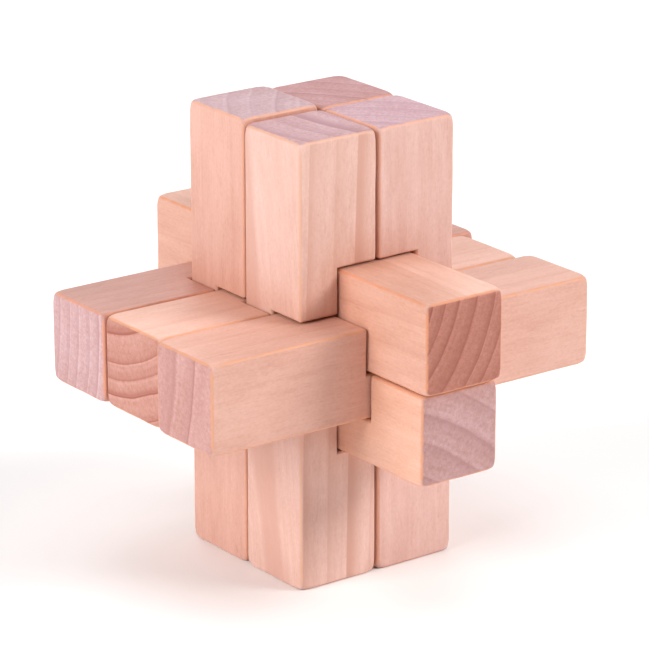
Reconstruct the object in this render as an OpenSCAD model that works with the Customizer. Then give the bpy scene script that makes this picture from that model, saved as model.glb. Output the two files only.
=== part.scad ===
// Nine-bar wooden burr puzzle: four upright posts, a row of three flat bars and two cross bars.
// Every bar is square, and they lock by notches where they cross. The key bar has no notch.
// Origin: on the ground under the middle of the lock. +Z up, posts along Z, row bars along X,
// cross bars along Y. Millimetres.

/* [Bars] */
// Side of each bar's square section
bar_side = 15.7; // [12:0.1:19.6]
// Clearance between any two neighbouring bars
fit_gap = 0.3; // [0.16:0.02:0.5]
// Radius of the eased edges of a bar
edge_round = 0.6; // [0.3:0.1:1.5]

/* [Lengths] */
// Length of the front, right and back posts
post_len = 78.2; // [64:0.2:110]
// Length of the left post, cut a little longer than the others
left_post_len = 78.9; // [64:0.1:110]
// Length of the two outer row bars
row_len = 78.6; // [64:0.2:110]
// Length of the middle row bar, cut shorter than its neighbours
middle_row_len = 75.5; // [64:0.1:110]
// Length of the lower cross bar
cross_len = 77.2; // [64:0.2:110]
// Length of the key bar
key_len = 77.4; // [64:0.2:110]

/* [Play] */
// How far the left row bar lies towards +X
left_row_slip = 0.4; // [0:0.1:1.5]
// How far the middle row bar lies towards -X
middle_row_slip = 0.9; // [0:0.1:1.5]
// How far the lower cross bar lies towards +Y
cross_slip = 0.5; // [0:0.1:1.5]
// How far the key bar's near end stands out past the lower cross bar's
key_proud = 1.1; // [0:0.1:2]
// How far each post stands outwards in its play, along X
post_spread = 0.1; // [0:0.02:0.14]
// How far the middle of the lock lies above the middle of the posts
lock_lift = 0.4; // [0:0.1:1]

/* [Hidden] */
$fn = 48;

half_pitch = (bar_side + fit_gap) / 2; // grid unit: every bar is two units square
half_gap = fit_gap / 2;                // each bar face stands this far inside the grid
lock_z = post_len / 2 + lock_lift;     // height of the middle of the lock
cross_near_end = cross_slip - cross_len / 2;
key_near_end = cross_near_end - key_proud;

// Square with round corners, centred
module eased_square(w, h, r) {
    square([w - 2 * r, h], center = true);
    square([w, h - 2 * r], center = true);
    for (x = [-1, 1], y = [-1, 1])
        translate([x * (w / 2 - r), y * (h / 2 - r)])
            circle(r);
}

// Bar with all twelve edges eased, along Z, centred
module eased_bar(len) {
    intersection() {
        linear_extrude(len, center = true)
            eased_square(bar_side, bar_side, edge_round);
        rotate([90, 0, 0])
            linear_extrude(bar_side, center = true)
                eased_square(bar_side, len, edge_round);
        rotate([0, 90, 0])
            linear_extrude(bar_side, center = true)
                eased_square(len, bar_side, edge_round);
    }
}

// Bars at a place in the grid, given in grid units from the middle of the lock
module post(side, gy, len) {
    translate([side * (half_pitch + post_spread), gy * half_pitch, len / 2])
        eased_bar(len);
}

module row_bar(gy, len, slip) {
    translate([slip, gy * half_pitch, lock_z])
        rotate([0, 90, 0])
            eased_bar(len);
}

module cross_bar(gz, len, middle) {
    translate([0, middle, lock_z + gz * half_pitch])
        rotate([90, 0, 0])
            eased_bar(len);
}

// Notch over a block of grid cells, from one corner to the other. It is half a gap larger
// all round, so at a bar's face it runs out past the wood.
module notch(low, high) {
    room = [half_gap, half_gap, half_gap];
    translate([0, 0, lock_z])
        translate(low * half_pitch - room)
            cube((high - low) * half_pitch + 2 * room);
}

// Room in a row bar's top for the key bar
module key_seat(gy) {
    notch([-1, gy - 1, 0], [1, gy + 1, 1]);
}

// Post with its inner side cut away for the two cross bars, and one corner for a row bar,
// which leaves a neck a quarter of the section. side is the post's +X or -X side.
module notched_post(side, gy, len) {
    inner = side > 0 ? 0 : -1;
    outer = side > 0 ? 1 : -2;
    corner_y = side > 0 ? gy : gy - 1;
    difference() {
        post(side, gy, len);
        notch([inner, gy - 1, -2], [inner + 1, gy + 1, 2]);
        notch([outer, corner_y, -1], [outer + 1, corner_y + 1, 1]);
    }
}

module key_bar() {
    color("#d9ad8c")
        cross_bar(1, key_len, key_near_end + key_len / 2);
}

module lower_cross_bar() {
    color("#cfa185")
        difference() {
            cross_bar(-1, cross_len, cross_slip);
            notch([-1, -3, -1], [1, 3, 0]);
        }
}

module left_row_bar() {
    color("#cda58d")
        difference() {
            row_bar(2, row_len, left_row_slip);
            key_seat(2);
            notch([-2, 1, -1], [-1, 2, 1]);
        }
}

module middle_row_bar() {
    color("#d2a88c")
        difference() {
            row_bar(0, middle_row_len, -middle_row_slip);
            key_seat(0);
            notch([-2, -1, -1], [-1, 0, 1]);
            notch([1, 0, -1], [2, 1, 1]);
        }
}

module near_row_bar() {
    color("#d8ab86")
        difference() {
            row_bar(-2, row_len, 0);
            key_seat(-2);
            notch([1, -2, -1], [2, -1, 1]);
        }
}

module left_post() {
    color("#dcb79d")
        notched_post(-1, 1, left_post_len);
}

module front_post() {
    color("#deb496")
        notched_post(-1, -1, post_len);
}

module right_post() {
    color("#d7ab90")
        notched_post(1, -1, post_len);
}

module back_post() {
    color("#c99a80")
        notched_post(1, 1, post_len);
}

key_bar();
lower_cross_bar();
left_row_bar();
middle_row_bar();
near_row_bar();
left_post();
front_post();
right_post();
back_post();
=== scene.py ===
import math

import bmesh
import bpy
from mathutils import Matrix, Vector, noise


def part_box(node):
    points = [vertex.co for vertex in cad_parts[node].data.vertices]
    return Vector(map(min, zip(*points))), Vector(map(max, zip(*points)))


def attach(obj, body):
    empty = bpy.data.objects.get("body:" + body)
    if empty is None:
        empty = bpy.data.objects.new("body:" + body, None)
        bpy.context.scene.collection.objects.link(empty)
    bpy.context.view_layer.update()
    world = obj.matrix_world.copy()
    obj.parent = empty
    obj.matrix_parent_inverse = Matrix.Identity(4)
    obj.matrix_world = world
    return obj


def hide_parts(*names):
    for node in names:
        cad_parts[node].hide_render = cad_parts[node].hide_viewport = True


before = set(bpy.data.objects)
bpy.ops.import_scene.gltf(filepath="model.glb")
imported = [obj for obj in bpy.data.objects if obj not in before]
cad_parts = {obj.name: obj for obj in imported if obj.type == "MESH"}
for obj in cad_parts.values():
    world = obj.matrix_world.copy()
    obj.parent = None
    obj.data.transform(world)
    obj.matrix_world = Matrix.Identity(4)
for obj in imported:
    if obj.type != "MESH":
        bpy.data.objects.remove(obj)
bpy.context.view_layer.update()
mm = 0.001  # the scene is in metres

# the lock's grid, from two neighbours of the row: every bar is two grid units square
nearLow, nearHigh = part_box("near_row_bar")
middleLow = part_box("middle_row_bar")[0]
barSide = nearHigh.z - nearLow.z
gridUnit = (middleLow.y - nearLow.y) / 2
fitGap = 2 * gridUnit - barSide
lockMiddle = Vector((0, 0, (nearLow.z + nearHigh.z) / 2))
barBoxes = {node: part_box(node) for node in sorted(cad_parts)}
print("frame loaded: bars %.1f mm square, %.2f mm apart" % (barSide / mm, fitGap / mm))

# how the maker sands and tumbles every bar, mm
shopFinish = {
    "easeRadius": 0.48,      # outer edges
    "notchEase": 0.9,        # share of that on the edges of a notch
    "easeSteps": 5,
    "cornerRadius": 0.95,    # the eight corners come out of the tumbler rounder
    "cornerReach": 2.0,
    "cornerFade": 1.4,       # how soon the rounding is at its full
    "edgeWobble": 0.1,       # unevenness of the eased edges, always inwards
    "wobbleLength": 4.5,
    "wearReach": 0.62,       # how far from an edge the burnish and its painted highlight fade
    "edgeLoops": (0.35, 0.8, 1.4, 2.2, 3.1),  # loops beside an edge, from where it is eased
    "loopStep": 2.6,         # spacing of the loops between those
    "cornerShadeRise": 1.5,      # painted shade: a neighbour that stands this far above a face darkens it
    "cornerShadeReach": 7.5,     # how far from it the painted shade fades
    "flushLoss": 5,          # takes the painted shade off where a neighbour is flush
    "sharpAngle": 35,        # degrees
    "flatWeight": 80,
}
touching = 0.01 * mm  # points nearer than this are one
cutTolerance = 0.001 * mm
flatFold = 0.02  # a smaller fold is one flat face, radians
edgeFold = 0.5   # a larger one is an edge to ease
wobbleShift = (7.3, 3.1)  # gives each bar its own part of the noise


def growNotchTree():
    tree = bpy.data.node_groups.new("notchedBar", "GeometryNodeTree")
    for name, kind in (
        ("Notches", "NodeSocketGeometry"),
        ("Bar Size", "NodeSocketVector"),
        ("Bar Middle", "NodeSocketVector"),
        ("Wood", "NodeSocketMaterial"),
    ):
        tree.interface.new_socket(name, in_out="INPUT", socket_type=kind)
    tree.interface.new_socket("Bar", in_out="OUTPUT", socket_type="NodeSocketGeometry")
    add, link = tree.nodes.new, tree.links.new
    given = add("NodeGroupInput")
    made = add("NodeGroupOutput")

    blank = add("GeometryNodeMeshCube")  # the plain square bar
    place = add("GeometryNodeTransform")
    link(given.outputs["Bar Size"], blank.inputs["Size"])
    link(blank.outputs["Mesh"], place.inputs["Geometry"])
    link(given.outputs["Bar Middle"], place.inputs["Translation"])

    cutter = add("GeometryNodeMeshCube")  # one block for each notch, sized by its point
    cutter.inputs["Size"].default_value = (1, 1, 1)
    notchSize = add("GeometryNodeInputNamedAttribute")
    notchSize.data_type = "FLOAT_VECTOR"
    notchSize.inputs["Name"].default_value = "notchSize"
    repeat = add("GeometryNodeInstanceOnPoints")
    cutters = add("GeometryNodeRealizeInstances")
    link(given.outputs["Notches"], repeat.inputs["Points"])
    link(cutter.outputs["Mesh"], repeat.inputs["Instance"])
    link(notchSize.outputs["Attribute"], repeat.inputs["Scale"])
    link(repeat.outputs["Instances"], cutters.inputs["Geometry"])

    cut = add("GeometryNodeMeshBoolean")
    cut.operation = "DIFFERENCE"
    cut.solver = "EXACT"
    cut.inputs["Self Intersection"].default_value = True
    link(place.outputs["Geometry"], cut.inputs["Mesh 1"])
    link(cutters.outputs["Geometry"], cut.inputs["Mesh 2"])

    whole = add("GeometryNodeRealizeInstances")
    paint = add("GeometryNodeSetMaterial")
    link(cut.outputs["Mesh"], whole.inputs["Geometry"])
    link(whole.outputs["Geometry"], paint.inputs["Geometry"])
    link(given.outputs["Wood"], paint.inputs["Material"])
    link(paint.outputs["Geometry"], made.inputs["Bar"])
    return tree


notchTree = growNotchTree()


def applied(piece):
    # the evaluated shape as a plain mesh, with every modifier gone
    bpy.context.view_layer.update()
    shape = piece.evaluated_get(bpy.context.evaluated_depsgraph_get())
    mesh = bpy.data.meshes.new_from_object(shape)
    mesh.name = piece.name
    piece.modifiers.clear()
    piece.data = mesh
    return mesh


def sawBar(name, low, high, notches, wood):
    # notches are grid blocks from one corner to the other, a half gap larger all round
    room = Vector((fitGap, fitGap, fitGap)) / 2
    blocks = [(Vector(a) * gridUnit - room, Vector(b) * gridUnit + room) for a, b in notches]
    points = bpy.data.meshes.new(name)
    points.from_pydata([lockMiddle + (a + b) / 2 for a, b in blocks], [], [])
    sizes = points.attributes.new("notchSize", "FLOAT_VECTOR", "POINT")
    for k, (a, b) in enumerate(blocks):
        sizes.data[k].vector = b - a
    piece = bpy.data.objects.new(name, points)
    bpy.context.scene.collection.objects.link(piece)
    saw = piece.modifiers.new("saw", "NODES")
    saw.node_group = notchTree
    names = {s.name: s.identifier for s in notchTree.interface.items_tree if s.in_out == "INPUT"}
    saw[names["Bar Size"]] = high - low
    saw[names["Bar Middle"]] = (low + high) / 2
    saw[names["Wood"]] = wood
    applied(piece)
    return piece


def insets(point, low, high):
    # how deep a point lies behind the nearer face of the bar, along each axis
    return [min(point[i] - low[i], high[i] - point[i]) for i in range(3)]


def easeEdges(piece, low, high):
    # rounds the convex edges, and returns them as lines with their share of the radius
    bm = bmesh.new()
    bm.from_mesh(piece.data)
    bmesh.ops.remove_doubles(bm, verts=bm.verts, dist=touching)
    bmesh.ops.dissolve_limit(bm, angle_limit=flatFold, verts=bm.verts, edges=bm.edges)
    bmesh.ops.recalc_face_normals(bm, faces=bm.faces)
    share = bm.edges.layers.float.new("bevel_weight_edge")
    lines = []
    for edge in bm.edges:
        if edge.calc_face_angle_signed(0) < edgeFold:
            continue
        middle = (edge.verts[0].co + edge.verts[1].co) / 2
        outer = sum(1 for depth in insets(middle, low, high) if depth < touching) == 2
        edge[share] = 1.0 if outer else shopFinish["notchEase"]
        lines.append((edge.verts[0].co.copy(), edge.verts[1].co.copy(), edge[share]))
    bm.to_mesh(piece.data)
    bm.free()
    ease = piece.modifiers.new("ease", "BEVEL")
    ease.limit_method = "WEIGHT"
    ease.width = shopFinish["easeRadius"] * mm
    ease.segments = shopFinish["easeSteps"]
    ease.use_clamp_overlap = False
    applied(piece)
    return lines


def addLoops(bm, low, high):
    # loops along and across the bar, closer together near its ends and edges
    ease = shopFinish["easeRadius"]
    for i in range(3):
        size = (high[i] - low[i]) / mm
        near = [ease + gap for gap in shopFinish["edgeLoops"]]
        steps = max(2, round((size - 2 * near[-1]) / shopFinish["loopStep"]))
        between = [near[-1] + k * (size - 2 * near[-1]) / steps for k in range(1, steps)]
        across = Vector([float(i == j) for j in range(3)])
        for depth in near + between + [size - gap for gap in near]:
            bmesh.ops.bisect_plane(
                bm,
                geom=bm.verts[:] + bm.edges[:] + bm.faces[:],
                dist=cutTolerance,
                plane_co=low + across * depth * mm,
                plane_no=across,
            )


def fade(x):
    x = min(1.0, max(0.0, x))
    return x * x * (3 - 2 * x)


def tumble(bm, low, high):
    # takes the eight corners back to a rounder shape that runs out along their edges
    radius, reach = shopFinish["cornerRadius"] * mm, shopFinish["cornerReach"] * mm
    for vert in bm.verts:
        depths = insets(vert.co, low, high)
        past = Vector([max(0.0, radius - depth) for depth in depths])
        if max(depths) > reach or past.length <= radius:
            continue
        amount = fade(shopFinish["cornerFade"] * (1 - max(depths) / reach))
        for i in range(3):
            shift = (past[i] - past[i] * radius / past.length) * amount
            vert.co[i] += shift if vert.co[i] - low[i] < high[i] - vert.co[i] else -shift


def lineDistance(point, start, end):
    along = end - start
    t = min(1.0, max(0.0, (point - start).dot(along) / along.length_squared))
    return (point - start - along * t).length


def wearEdges(bm, lines, seed):
    # wear is 1 on an eased edge and fades to 0 on the face: it drives wobble, and the burnish
    # with its painted highlight
    wear = bm.verts.layers.float.new("wear")
    arc = shopFinish["easeRadius"] * (math.sqrt(2) - 1) * mm
    shift = Vector((seed * wobbleShift[0], seed * wobbleShift[1], 0))
    bm.normal_update()
    for vert in bm.verts:
        amount = 0.0
        for start, end, share in lines:
            reach = shopFinish["wearReach"] * mm * share
            gap = lineDistance(vert.co, start, end)
            amount = max(amount, min(1.0, (reach - gap) / (reach - arc * share)))
        vert[wear] = amount
    for vert in bm.verts:
        where = vert.co / (shopFinish["wobbleLength"] * mm) + shift
        sag = max(0.0, 0.5 + noise.noise(where)) * vert[wear] ** 2
        vert.co -= vert.normal * sag * shopFinish["edgeWobble"] * mm


def paintCornerShade(bm, node):
    # painted shade in the corners: 1 where a face meets a bar that stands above it, and fades
    # along the face
    cornerShade = bm.verts.layers.float.new("cornerShade")
    rise, reach = shopFinish["cornerShadeRise"] * mm, shopFinish["cornerShadeReach"] * mm
    for vert in bm.verts:
        above = vert.co + vert.normal * rise
        amount = 0.0
        for other, (low, high) in barBoxes.items():
            if other == node:
                continue
            gap = Vector([max(low[i] - above[i], 0, above[i] - high[i]) for i in range(3)])
            beyond = shopFinish["flushLoss"] * abs(gap.dot(vert.normal))
            amount = max(amount, 1 - (gap.length + beyond) / reach)
        vert[cornerShade] = fade(amount)


# what every bar's wood has in common: lengths in mm, colours as a share of the bar's own
grainSize = {
    "slowWave": 2.4,             # how far rings wander over a bar
    "fineWave": 0.3,
    "paleTint": (1.06, 1.10, 1.12, 1),
    "darkTint": (0.90, 0.84, 0.80, 1),
    # the colour of the painted corner shade, as a share of the wood's own
    "lineTint": (0.84, 0.72, 0.66),
    "cornerShadeTint": (0.97, 0.90, 0.84),
    "meanTone": 0.62,
    "endMask": (0.55, 0.93),     # how squarely a surface faces along the bar to show end grain
    "reliefStrength": 0.6,
    "reliefDepth": 0.06,
    "sheen": 0.3,
    "roughness": 0.52,
}
# noise that runs through the wood: stretch on two axes across the bar and one along it,
# scale, detail and roughness
noiseLayers = {
    "streak": ((1, 1, 0.045), 1.0, 3.0, 0.55),
    "fibre": ((1, 1, 0.045), 3.6, 2.0, 0.6),
    "cloud": ((1, 1, 0.35), 0.1, 2.0, 0.5),
    "blotch": ((1, 1, 0.3), 0.5, 3.0, 0.6),
    "speckle": ((1, 1, 0.6), 2.4, 2.0, 0.7),
    "mottle": ((1, 1, 0.3), 1.3, 3.0, 0.75),
}
# how much each layer lightens a long face and an end, roughens, and stands up
layerShare = {
    "face": {
        "streak": 1.1,
        "fibre": 1.2,
        "cloud": 2.2,
        "blotch": 1.6,
        "speckle": 1.8,
        "dash": -0.4,
    },
    "end": {
        "ray": 0.9,
        "cloud": 1.6,
        "mottle": 2.8,
        "speckle": 1.6,
        "pore": -0.3,
        "early": 0.9,
    },
    "rough": {"fibre": 0.15, "end": 0.1, "burnish": -0.1, "dash": 0.08},
    "relief": {"fibre": 0.5, "speckle": 0.3, "dash": -0.4, "cuts": -0.4},
}
# where in a year's growth each tone rises and where it falls, as shares of the year
yearTones = {
    "late": ((0.35, 0.93), (0.94, 1.0)),
    "line": ((0.84, 0.95), (0.955, 0.99)),
    "early": ((0.0, 0.03), (0.06, 0.2)),
    "weak": ((0.3, 0.85), (0.86, 1.0)),
}


def wire(tree, socket, given):
    if isinstance(given, bpy.types.NodeSocket):
        tree.links.new(given, socket)
    else:
        socket.default_value = given


def put(tree, kind, settings, inputs):
    node = tree.nodes.new(kind)
    for key, setting in settings.items():
        setattr(node, key, setting)
    for key, given in inputs.items():
        wire(tree, node.inputs[key], given)
    return node


def calc(tree, operation, *values):
    settings = {"operation": operation}
    return put(tree, "ShaderNodeMath", settings, dict(enumerate(values))).outputs[0]


def vector(tree, operation, *values):
    settings = {"operation": operation}
    node = put(tree, "ShaderNodeVectorMath", settings, dict(enumerate(values)))
    return node.outputs["Value" if operation in ("LENGTH", "DOT_PRODUCT") else "Vector"]


def grain(tree, place, stretch, scale, detail=2.0, roughness=0.5, output="Fac"):
    stretched = vector(tree, "MULTIPLY", place, stretch)
    inputs = {"Vector": stretched, "Scale": scale, "Detail": detail, "Roughness": roughness}
    return put(tree, "ShaderNodeTexNoise", {}, inputs).outputs[output]


def ramp(tree, given, low, high, toLow=0.0, toHigh=1.0):
    settings = {"interpolation_type": "SMOOTHSTEP"}
    inputs = {
        "Value": given,
        "From Min": low,
        "From Max": high,
        "To Min": toLow,
        "To Max": toHigh,
    }
    return put(tree, "ShaderNodeMapRange", settings, inputs).outputs["Result"]


def band(tree, given, rise, fall):
    # 1 between the rise and the fall, and 0 outside them
    up = ramp(tree, given, *rise)
    down = ramp(tree, given, *fall, 1.0, 0.0)
    return calc(tree, "MULTIPLY", up, down)


def blend(tree, amount, first, second, within=True):
    node = tree.nodes.new("ShaderNodeMix")
    node.data_type = "RGBA"
    node.clamp_factor = within
    wire(tree, node.inputs[0], amount)
    wire(tree, node.inputs[6], first)
    wire(tree, node.inputs[7], second)
    return node.outputs[2]


def weigh(tree, base, layers, kind):
    # base plus each layer times its share
    total = base
    for name, share in layerShare[kind].items():
        total = calc(tree, "MULTIPLY_ADD", layers[name], share, total)
    return total


def tinted(tree, colour, tone):
    # a colour taken paler or darker round its mean
    tint = blend(tree, tone, grainSize["darkTint"], grainSize["paleTint"], False)
    return vector(tree, "MULTIPLY", colour, tint)


def growWoodTree():
    tree = bpy.data.node_groups.new("sandedHardwood", "ShaderNodeTree")
    for name, kind in (
        ("Grain Place", "NodeSocketVector"),
        ("Facing", "NodeSocketVector"),
        ("Run Axis", "NodeSocketVector"),
        ("Wear", "NodeSocketFloat"),
        ("Corner Shade", "NodeSocketFloat"),
        ("Face", "NodeSocketColor"),
        ("End", "NodeSocketColor"),
        ("Line", "NodeSocketColor"),
        ("Burnish Highlight", "NodeSocketColor"),
        ("Ring Gap", "NodeSocketFloat"),
        ("Ring Uneven", "NodeSocketFloat"),
        ("Face Rings", "NodeSocketFloat"),
        ("End Rings", "NodeSocketFloat"),
        ("Ring Edge", "NodeSocketFloat"),
        ("Ring Band", "NodeSocketFloat"),
        ("Heart", "NodeSocketFloat"),
        ("Heart Tint", "NodeSocketFloat"),
        ("Figure", "NodeSocketFloat"),
        ("Seed", "NodeSocketFloat"),
    ):
        tree.interface.new_socket(name, in_out="INPUT", socket_type=kind)
    for name, kind in (
        ("Colour", "NodeSocketColor"),
        ("Roughness", "NodeSocketFloat"),
        ("Height", "NodeSocketFloat"),
    ):
        tree.interface.new_socket(name, in_out="OUTPUT", socket_type=kind)
    given = tree.nodes.new("NodeGroupInput").outputs
    made = tree.nodes.new("NodeGroupOutput").inputs
    place, seed = given["Grain Place"], given["Seed"]

    # rings round the pith, which wander and are unevenly spaced
    seedPlace = put(tree, "ShaderNodeCombineXYZ", {}, {"X": seed, "Y": seed, "Z": seed})
    own = vector(tree, "MULTIPLY_ADD", seedPlace.outputs[0], (31.7, 17.3, 53.9), place)
    slow = grain(tree, own, (1, 1, 0.22), 0.035, output="Color")
    fine = grain(tree, own, (1, 1, 0.05), 0.22, output="Color")
    wander = vector(tree, "SUBTRACT", slow, (0.5, 0.5, 0.5))
    bent = vector(tree, "MULTIPLY_ADD", wander, (grainSize["slowWave"],) * 3, place)
    wander = vector(tree, "SUBTRACT", fine, (0.5, 0.5, 0.5))
    bent = vector(tree, "MULTIPLY_ADD", wander, (grainSize["fineWave"],) * 3, bent)
    radius = vector(tree, "LENGTH", vector(tree, "MULTIPLY", bent, (1, 1, 0)))
    uneven = put(
        tree,
        "ShaderNodeTexNoise",
        {"noise_dimensions": "1D"},
        {"W": calc(tree, "ADD", radius, seed), "Scale": 0.17, "Detail": 1.0},
    ).outputs["Fac"]
    uneven = calc(tree, "MULTIPLY", calc(tree, "SUBTRACT", uneven, 0.5), given["Ring Uneven"])
    years = calc(tree, "ADD", calc(tree, "DIVIDE", radius, given["Ring Gap"]), uneven)
    season = calc(tree, "FRACT", years)
    late = band(tree, season, *yearTones["late"])
    line = band(tree, season, *yearTones["line"])
    early = calc(tree, "MULTIPLY", band(tree, season, *yearTones["early"]), given["Ring Edge"])
    year = calc(tree, "ADD", calc(tree, "FLOOR", years), seed)
    strength = put(tree, "ShaderNodeTexWhiteNoise", {"noise_dimensions": "1D"}, {"W": year})
    strength = calc(tree, "MULTIPLY_ADD", strength.outputs["Value"], 0.65, 0.4)
    line = calc(tree, "MULTIPLY", line, given["Ring Edge"])
    ring = calc(tree, "MULTIPLY_ADD", late, given["Ring Band"], line)
    weak = calc(tree, "FRACT", calc(tree, "MULTIPLY_ADD", years, 2.6, 0.37))
    weak = band(tree, weak, *yearTones["weak"])
    ring = calc(tree, "MULTIPLY_ADD", ring, strength, calc(tree, "MULTIPLY", weak, 0.1))

    # fibres, fine speckle and soft cloudiness, and pores seen from the side as dashes
    layers = {
        name: calc(tree, "SUBTRACT", grain(tree, own, *numbers), 0.5)
        for name, numbers in noiseLayers.items()
    }
    layers["dash"] = ramp(tree, grain(tree, own, (1, 1, 0.14), 3.2, 1.0), 0.6, 0.74)
    layers["early"] = early

    # long faces
    figure = weigh(tree, 0.0, layers, "face")
    tone = calc(tree, "MULTIPLY_ADD", figure, given["Figure"], grainSize["meanTone"])
    heart = ramp(tree, calc(tree, "SUBTRACT", radius, given["Heart"]), -0.25, 0.25)
    tone = calc(tree, "MULTIPLY_ADD", heart, given["Heart Tint"], tone)
    faceColour = tinted(tree, given["Face"], tone)
    faceLine = vector(tree, "MULTIPLY", given["Face"], grainSize["lineTint"])
    shown = calc(tree, "MULTIPLY", ring, given["Face Rings"])
    faceColour = blend(tree, shown, faceColour, faceLine)

    # end grain: rings, rays that run out from the pith, pores
    parts = put(tree, "ShaderNodeSeparateXYZ", {}, {0: bent}).outputs
    angle = calc(tree, "MULTIPLY", calc(tree, "ARCTAN2", parts["Y"], parts["X"]), 60.0)
    fan = put(tree, "ShaderNodeCombineXYZ", {}, {"X": angle, "Y": radius, "Z": seed}).outputs[0]
    layers["ray"] = calc(tree, "SUBTRACT", grain(tree, fan, (1, 0.14, 1), 2.4, 2.0, 0.6), 0.5)
    pore = put(
        tree,
        "ShaderNodeTexVoronoi",
        {},
        {"Vector": vector(tree, "MULTIPLY", own, (1, 1, 0.1)), "Scale": 2.8},
    ).outputs["Distance"]
    layers["pore"] = ramp(tree, pore, 0.1, 0.34, 1.0, 0.0)
    tone = weigh(tree, grainSize["meanTone"], layers, "end")
    endColour = tinted(tree, given["End"], tone)
    shown = calc(tree, "MULTIPLY", ring, given["End Rings"])
    endColour = blend(tree, shown, endColour, given["Line"])

    square = vector(tree, "DOT_PRODUCT", given["Facing"], given["Run Axis"])
    square = calc(tree, "ABSOLUTE", square)
    end = ramp(tree, square, *grainSize["endMask"])
    colour = blend(tree, end, faceColour, endColour)

    # painted shade: darker and warmer where a neighbouring bar stands above the face
    cornerShaded = vector(tree, "MULTIPLY", colour, grainSize["cornerShadeTint"])
    colour = blend(tree, given["Corner Shade"], colour, cornerShaded)

    # eased edges are burnished by the tumbler, and lightened with a painted highlight
    patch = grain(tree, own, (1, 1, 1), 0.6, 3.0, 0.6)
    burnish = ramp(tree, patch, 0.25, 0.65, 0.3, 0.95)
    burnish = calc(tree, "MULTIPLY", burnish, ramp(tree, given["Wear"], 0.25, 0.9))
    colour = blend(tree, burnish, colour, given["Burnish Highlight"])
    wire(tree, made["Colour"], colour)

    layers.update(end=end, burnish=burnish, cuts=calc(tree, "MULTIPLY", ring, end))
    wire(tree, made["Roughness"], weigh(tree, grainSize["roughness"], layers, "rough"))
    height = weigh(tree, 0.5, layers, "relief")
    wire(tree, made["Height"], height)
    return tree


woodTree = growWoodTree()

studioGain = 1.27  # how much brighter than its own colour a surface shows in this light


def shade(red, green, blue):
    # the colour that shows on screen, to the linear colour of the surface
    def linear(v):
        v = v / 255
        return v / 12.92 if v <= 0.04045 else ((v + 0.055) / 1.055) ** 2.4

    return tuple(linear(v) / studioGain for v in (red, green, blue)) + (1,)


# turns each run axis to the grain's own Z
turnToGrain = {
    "X": Matrix.Rotation(math.radians(-90), 3, "Y"),
    "Y": Matrix.Rotation(math.radians(90), 3, "X"),
    "Z": Matrix.Identity(3),
}
axisVector = {"X": Vector((1, 0, 0)), "Y": Vector((0, 1, 0)), "Z": Vector((0, 0, 1))}


def growWood(name, run, middle, look):
    material = bpy.data.materials.new(name)
    material.use_nodes = True
    tree = material.node_tree
    tree.nodes.clear()
    where = tree.nodes.new("ShaderNodeTexCoord").outputs
    lean = Matrix.Rotation(math.radians(look["lean"][1]), 3, axisVector[look["lean"][0]])
    turn = turnToGrain[run] @ lean
    cross = [axis for axis in "XYZ" if axis != run]
    pith = middle / mm
    for axis, offset in zip(cross, look["pith"]):
        pith = pith + axisVector[axis] * offset
    toGrain = put(
        tree,
        "ShaderNodeMapping",
        {},
        {
            "Vector": where["Object"],
            "Location": -(turn @ pith),
            "Rotation": turn.to_euler(),
            "Scale": (1 / mm, 1 / mm, 1 / mm),
        },
    )
    wear = put(tree, "ShaderNodeAttribute", {"attribute_name": "wear"}, {})
    # the painted corner shade, per vertex
    cornerShade = put(tree, "ShaderNodeAttribute", {"attribute_name": "cornerShade"}, {})
    wood = tree.nodes.new("ShaderNodeGroup")
    wood.node_tree = woodTree
    for key, given in {
        "Grain Place": toGrain.outputs[0],
        "Facing": where["Normal"],
        "Run Axis": axisVector[run],
        "Wear": wear.outputs["Fac"],
        "Corner Shade": cornerShade.outputs["Fac"],
        "Face": shade(*look["face"]),
        "End": shade(*look["end"]),
        "Line": shade(*look["line"]),
        "Burnish Highlight": shade(*look["burnish"]),
        "Ring Gap": look["ringGap"],
        "Ring Uneven": look["ringUneven"],
        "Face Rings": look["faceRings"],
        "End Rings": look["endRings"],
        "Ring Edge": look["ringEdge"],
        "Ring Band": look["ringBand"],
        "Heart": look["heart"],
        "Heart Tint": look["heartTint"],
        "Figure": look["figure"],
        "Seed": look["seed"],
    }.items():
        wire(tree, wood.inputs[key], given)
    relief = put(
        tree,
        "ShaderNodeBump",
        {},
        {
            "Strength": grainSize["reliefStrength"],
            "Distance": grainSize["reliefDepth"] * mm,
            "Height": wood.outputs["Height"],
        },
    )
    surface = put(
        tree,
        "ShaderNodeBsdfPrincipled",
        {},
        {
            "Base Color": wood.outputs["Colour"],
            "Roughness": wood.outputs["Roughness"],
            "Normal": relief.outputs["Normal"],
            "Specular IOR Level": grainSize["sheen"],
        },
    )
    result = tree.nodes.new("ShaderNodeOutputMaterial")
    wire(tree, result.inputs["Surface"], surface.outputs["BSDF"])
    return material


# what a look has unless it says otherwise
plainLook = {"heart": 0, "heartTint": 0, "figure": 0.62}


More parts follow.
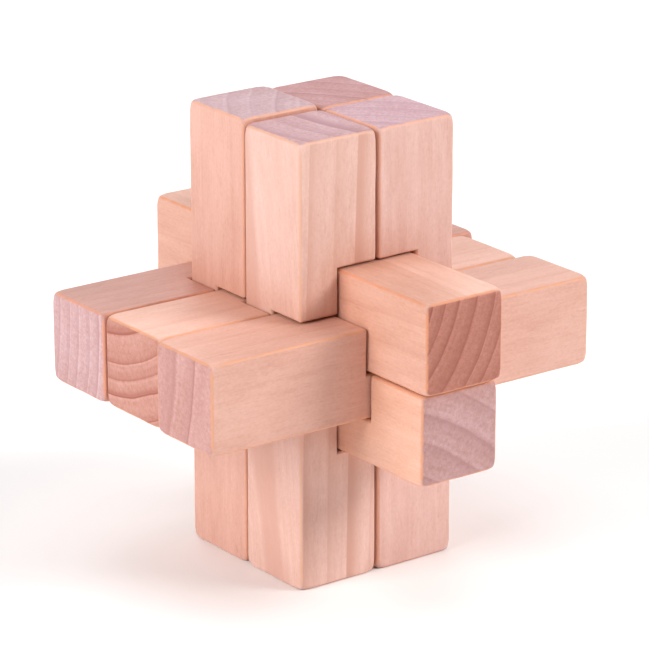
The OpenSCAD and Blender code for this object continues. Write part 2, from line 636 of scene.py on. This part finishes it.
def makeBar(name, node, body, run, notches, look):
    look = {**plainLook, **look}
    low, high = (Vector(corner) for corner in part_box(node))
    wood = growWood(name + "Wood", run, (low + high) / 2, look)
    piece = sawBar(name, low, high, notches, wood)
    lines = easeEdges(piece, low, high)
    bm = bmesh.new()
    bm.from_mesh(piece.data)
    addLoops(bm, low, high)
    tumble(bm, low, high)
    wearEdges(bm, lines, look["seed"])
    # paints shade into the corners under neighbouring bars
    paintCornerShade(bm, node)
    for face in bm.faces:
        face.smooth = True
    bm.to_mesh(piece.data)
    bm.free()
    piece.data.set_sharp_from_angle(angle=math.radians(shopFinish["sharpAngle"]))
    flat = piece.modifiers.new("flatFaces", "WEIGHTED_NORMAL")
    flat.keep_sharp = True
    flat.weight = shopFinish["flatWeight"]
    mesh = applied(piece)
    mesh.materials.clear()
    mesh.materials.append(wood)
    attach(piece, body)
    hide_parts(node)
    print("%s: %d faces" % (name, len(mesh.polygons)))


def keySeat(row):
    return (-1, row - 1, 0), (1, row + 1, 1)


def postNotches(side, row):
    # the inner side is cut away for the cross bars, and one corner for a row bar
    inner, outer, corner = (0, 1, row) if side > 0 else (-1, -2, row - 1)
    return [
        ((inner, row - 1, -2), (inner + 1, row + 1, 2)),
        ((outer, corner, -1), (outer + 1, corner + 1, 1)),
    ]


# pith: where the tree's middle lay from the bar's centre line, mm, along its two cross axes
# lean: how far the grain runs out of true, degrees about an axis

# burnish: the eased edges' colour, tumbler burnish with a painted highlight
keyLook = {
    "pith": (-25, 12),
    "lean": ("Z", 1.5),
    "ringGap": 3.2,
    "ringUneven": 1.1,
    "faceRings": 0.35,
    "endRings": 1.0,
    "ringEdge": 0.35,
    "ringBand": 0.55,
    "heart": 26.9,
    "heartTint": 0.8,
    "face": (239, 184, 163),
    "end": (195, 127, 110),
    "line": (159, 88, 72),
    "burnish": (242, 162, 122),
    "seed": 1,
}
makeBar("keyBar", "key_bar", "key", "Y", [], keyLook)

lowerCrossLook = {
    "pith": (-22, -38),
    "lean": ("X", 1.0),
    "ringGap": 5.0,
    "ringUneven": 0.5,
    "faceRings": 0.3,
    "endRings": 0.8,
    "ringEdge": 0.3,
    "ringBand": 0.4,
    "face": (249, 194, 170),
    "end": (209, 163, 160),
    "line": (171, 118, 118),
    "burnish": (246, 172, 134),
    "seed": 2,
}
makeBar(
    "lowerCrossBar",
    "lower_cross_bar",
    "locked_bars",
    "Y",
    [((-1, -3, -1), (1, 3, 0))],
    lowerCrossLook,
)

leftRowLook = {
    "pith": (60, 6),
    "lean": ("Y", 0.8),
    "ringGap": 2.9,
    "ringUneven": 0.6,
    "faceRings": 0.45,
    "endRings": 0.9,
    "ringEdge": 0.45,
    "ringBand": 0.4,
    "face": (220, 162, 148),
    "end": (218, 175, 174),
    "line": (193, 142, 143),
    "burnish": (246, 170, 138),
    "seed": 3,
}
makeBar(
    "leftRowBar",
    "left_row_bar",
    "locked_bars",
    "X",
    [keySeat(2), ((-2, 1, -1), (-1, 2, 1))],
    leftRowLook,
)

middleRowLook = {
    "pith": (9, 30),
    "lean": ("Y", 0.6),
    "ringGap": 3.6,
    "ringUneven": 1.6,
    "faceRings": 0.35,
    "endRings": 1.0,
    "ringEdge": 0.5,
    "ringBand": 0.75,
    "face": (249, 196, 177),
    "end": (213, 153, 138),
    "line": (178, 103, 87),
    "burnish": (247, 178, 140),
    "seed": 4,
}
makeBar(
    "middleRowBar",
    "middle_row_bar",
    "locked_bars",
    "X",
    [keySeat(0), ((-2, -1, -1), (-1, 0, 1)), ((1, 0, -1), (2, 1, 1))],
    middleRowLook,
)

nearRowLook = {
    "pith": (70, 12),
    "lean": ("Z", 1.0),
    "ringGap": 6.8,
    "ringUneven": 0.5,
    "faceRings": 0.4,
    "endRings": 0.9,
    "ringEdge": 0.4,
    "ringBand": 0.4,
    "face": (239, 185, 167),
    "end": (215, 162, 154),
    "line": (185, 127, 122),
    "burnish": (245, 174, 134),
    "seed": 5,
}
makeBar(
    "nearRowBar",
    "near_row_bar",
    "locked_bars",
    "X",
    [keySeat(-2), ((1, -2, -1), (2, -1, 1))],
    nearRowLook,
)

leftPostLook = {
    "pith": (48, -36),
    "lean": ("Y", 1.0),
    "ringGap": 4.0,
    "ringUneven": 0.5,
    "faceRings": 0.5,
    "endRings": 0.75,
    "ringEdge": 0.25,
    "ringBand": 0.45,
    "face": (239, 185, 168),
    "end": (207, 170, 174),
    "line": (179, 137, 143),
    "burnish": (250, 188, 158),
    "seed": 6,
}
makeBar(
    "leftPost",
    "left_post",
    "locked_bars",
    "Z",
    postNotches(-1, 1),
    leftPostLook,
)

frontPostLook = {
    "pith": (60, 4),
    "lean": ("X", 7.0),
    "ringGap": 4.5,
    "ringUneven": 0.6,
    "faceRings": 1.0,
    "endRings": 0.8,
    "ringEdge": 0.15,
    "ringBand": 1.0,
    "face": (247, 202, 188),
    "end": (210, 167, 171),
    "line": (181, 131, 138),
    "burnish": (250, 192, 162),
    "seed": 7,
}
makeBar(
    "frontPost",
    "front_post",
    "locked_bars",
    "Z",
    postNotches(-1, -1),
    frontPostLook,
)

rightPostLook = {
    "pith": (-40, -40),
    "lean": ("Y", 1.0),
    "ringGap": 4.2,
    "ringUneven": 0.6,
    "faceRings": 0.35,
    "endRings": 0.8,
    "ringEdge": 0.2,
    "ringBand": 0.5,
    "face": (241, 194, 182),
    "end": (212, 170, 178),
    "line": (184, 135, 144),
    "burnish": (250, 184, 154),
    "seed": 8,
}
makeBar(
    "rightPost",
    "right_post",
    "locked_bars",
    "Z",
    postNotches(1, -1),
    rightPostLook,
)

backPostLook = {
    "pith": (-36, -30),
    "lean": ("X", 1.0),
    "ringGap": 4.0,
    "ringUneven": 0.7,
    "faceRings": 0.35,
    "endRings": 0.8,
    "ringEdge": 0.3,
    "ringBand": 0.5,
    "face": (238, 184, 167),
    "end": (200, 147, 147),
    "line": (168, 111, 110),
    "burnish": (246, 178, 148),
    "seed": 9,
}
makeBar(
    "backPost",
    "back_post",
    "locked_bars",
    "Z",
    postNotches(1, 1),
    backPostLook,
)
print("nine bars made")

studio = {
    "floorRadius": 1.0,
    "floorTone": (0.94, 0.94, 0.94, 1),
    "floorRoughness": 0.9,
    "floorSheen": 0.1,
    "wallLight": 0.95,       # pale walls all round, level with the table
    "skyLight": 0.05,
    "wallFade": (0.05, 0.16),  # where the walls fade to sky, as the sine of the height angle
}
# soft square lamps round the table, all aimed at the lock: place, watts, side (m)
lamps = {
    "left": ((-1.24, 0.03, 0.66), 16.8, 0.8),
    "right": ((0.83, -0.93, 0.82), 17.6, 0.6),
    "back": ((0.6, 1.0, 0.9), 9.0, 0.9),
    "above": ((-0.05, 0.1, 1.5), 7.0, 1.1),
}


def makeFloor():
    mesh = bpy.data.meshes.new("floor")
    bm = bmesh.new()
    bmesh.ops.create_circle(bm, cap_ends=True, segments=96, radius=studio["floorRadius"])
    bm.to_mesh(mesh)
    bm.free()
    material = bpy.data.materials.new("paleFloor")
    material.use_nodes = True
    surface = material.node_tree.nodes["Principled BSDF"]
    surface.inputs["Base Color"].default_value = studio["floorTone"]
    surface.inputs["Roughness"].default_value = studio["floorRoughness"]
    surface.inputs["Specular IOR Level"].default_value = studio["floorSheen"]
    mesh.materials.append(material)
    floor = bpy.data.objects.new("floor", mesh)
    bpy.context.scene.collection.objects.link(floor)


def makeLamp(name, place, watts, side):
    lamp = bpy.data.lights.new(name, "AREA")
    lamp.energy = watts
    lamp.size = side
    light = bpy.data.objects.new(name, lamp)
    light.location = place
    aim = lockMiddle - light.location
    light.rotation_euler = aim.to_track_quat("-Z", "Y").to_euler()
    bpy.context.scene.collection.objects.link(light)


def makeRoom():
    # bright at table height, so that low views have a pale background, and dim above
    world = bpy.data.worlds.new("room")
    world.use_nodes = True
    tree = world.node_tree
    where = tree.nodes.new("ShaderNodeTexCoord").outputs
    height = put(tree, "ShaderNodeSeparateXYZ", {}, {0: where["Generated"]}).outputs["Z"]
    height = calc(tree, "ABSOLUTE", height)
    light = ramp(tree, height, *studio["wallFade"], studio["wallLight"], studio["skyLight"])
    sky = tree.nodes["Background"]
    sky.inputs["Color"].default_value = (1, 1, 1, 1)
    wire(tree, sky.inputs["Strength"], light)
    bpy.context.scene.world = world


makeFloor()
for name, (place, watts, side) in lamps.items():
    makeLamp(name, place, watts, side)
makeRoom()
bpy.context.scene.view_settings.view_transform = "Standard"

shot = {
    "azimuth": -36.5,  # degrees, 0 looks along +Y
    "elevation": 18.67,
    "roll": -0.04,
    "distance": 0.64,
    "right": 0.66 * mm,
    "up": 0.67 * mm,
    "lens": 208,
    "nearest": 0.01,
}


def makeCamera():
    azimuth, elevation = math.radians(shot["azimuth"]), math.radians(shot["elevation"])
    back = Vector((
        math.sin(azimuth) * math.cos(elevation),
        -math.cos(azimuth) * math.cos(elevation),
        math.sin(elevation),
    ))
    right = Vector((math.cos(azimuth), math.sin(azimuth), 0))
    up = back.cross(right)
    roll = Matrix.Rotation(math.radians(shot["roll"]), 3, "Z")
    turn = Matrix((right, up, back)).transposed() @ roll
    camera = bpy.data.objects.new("camera", bpy.data.cameras.new("camera"))
    camera.data.lens = shot["lens"]
    camera.data.clip_start = shot["nearest"]
    shift = turn @ Vector((shot["right"], shot["up"], 0))
    camera.location = lockMiddle + back * shot["distance"] + shift
    camera.rotation_euler = turn.to_euler()
    bpy.context.scene.collection.objects.link(camera)
    bpy.context.scene.camera = camera


makeCamera()
print("floor, lights and camera set")
